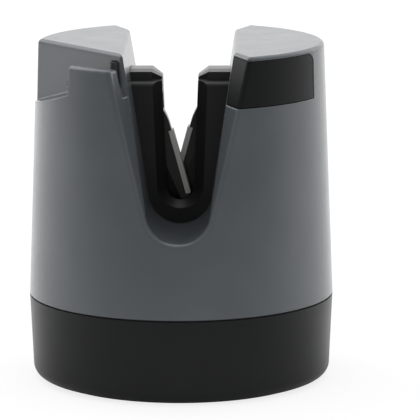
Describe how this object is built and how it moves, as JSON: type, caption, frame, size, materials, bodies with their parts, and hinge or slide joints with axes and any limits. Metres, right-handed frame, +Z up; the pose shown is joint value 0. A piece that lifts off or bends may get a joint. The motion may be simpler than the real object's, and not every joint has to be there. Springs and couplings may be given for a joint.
{
  "type": "pull through knife sharpener",
  "caption": "Drum-shaped table-top knife sharpener: a V slot guides the blade between crossed, spring-loaded arms with sharpening strips, above a black base with a rubber foot.",
  "frame": {"origin": "middle of the rubber foot's underside, on the surface that the sharpener stands on", "axes": "+Z up, the knife is drawn along Y through the slot, the front with the grip panel on the right is -Y, and the two caps stand at -X and +X"},
  "size_m": [0.08, 0.08, 0.0889],
  "materials": {
    "body_grey": "satin moulded ABS, slate grey",
    "panel_black": "satin moulded ABS, soft black",
    "base_black": "low-gloss moulded ABS, black",
    "foot_rubber": "matt moulded rubber",
    "housing_black": "semi-gloss moulded nylon, black",
    "arm_black": "semi-gloss glass-filled nylon, black",
    "strip_carbide": "ground tungsten carbide, grey",
    "bush_brass": "turned",
    "pin_steel": "ground",
    "spring_steel": "drawn wire",
    "stop_rubber": "matt",
    "screw_steel": "zinc plated",
    "divider_black": "moulded acetal, black",
    "rod_ceramic": "fired ceramic, dark grey"
  },
  "bodies": {
    "body": {"body_shell": "body_grey", "grip_panel": "panel_black", "base_housing": "base_black", "rubber_foot": "foot_rubber", "base_screws": "screw_steel", "mechanism_housing_front": "housing_black", "mechanism_housing_rear": "housing_black", "mechanism_housing_screws": "screw_steel", "mechanism_mounting_screws": "screw_steel", "arm_divider": "divider_black", "scissor_rod": "rod_ceramic", "front_arm_pin": "pin_steel", "front_arm_spring": "spring_steel", "front_arm_stop": "stop_rubber", "rear_arm_pin": "pin_steel", "rear_arm_spring": "spring_steel", "rear_arm_stop": "stop_rubber"},
    "front_arm": {"front_arm": "arm_black", "front_arm_carbide": "strip_carbide", "front_arm_bush": "bush_brass"},
    "rear_arm": {"rear_arm": "arm_black", "rear_arm_carbide": "strip_carbide", "rear_arm_bush": "bush_brass"}
  },
  "joints": [
    {"name": "front_arm_pivot", "type": "hinge", "parent": "body", "child": "front_arm", "pos_m": [0.0059, -0.0027, 0.035], "axis": [0, -1, 0], "range_deg": [0, 8], "stiffness_Nm_per_rad": 0.05, "springref_deg": -28.65, "deforming": ["front_arm_spring"]},
    {"name": "rear_arm_pivot", "type": "hinge", "parent": "body", "child": "rear_arm", "pos_m": [-0.0059, 0.0027, 0.035], "axis": [0, 1, 0], "range_deg": [0, 8], "stiffness_Nm_per_rad": 0.05, "springref_deg": -28.65, "deforming": ["rear_arm_spring"]}
  ]
}
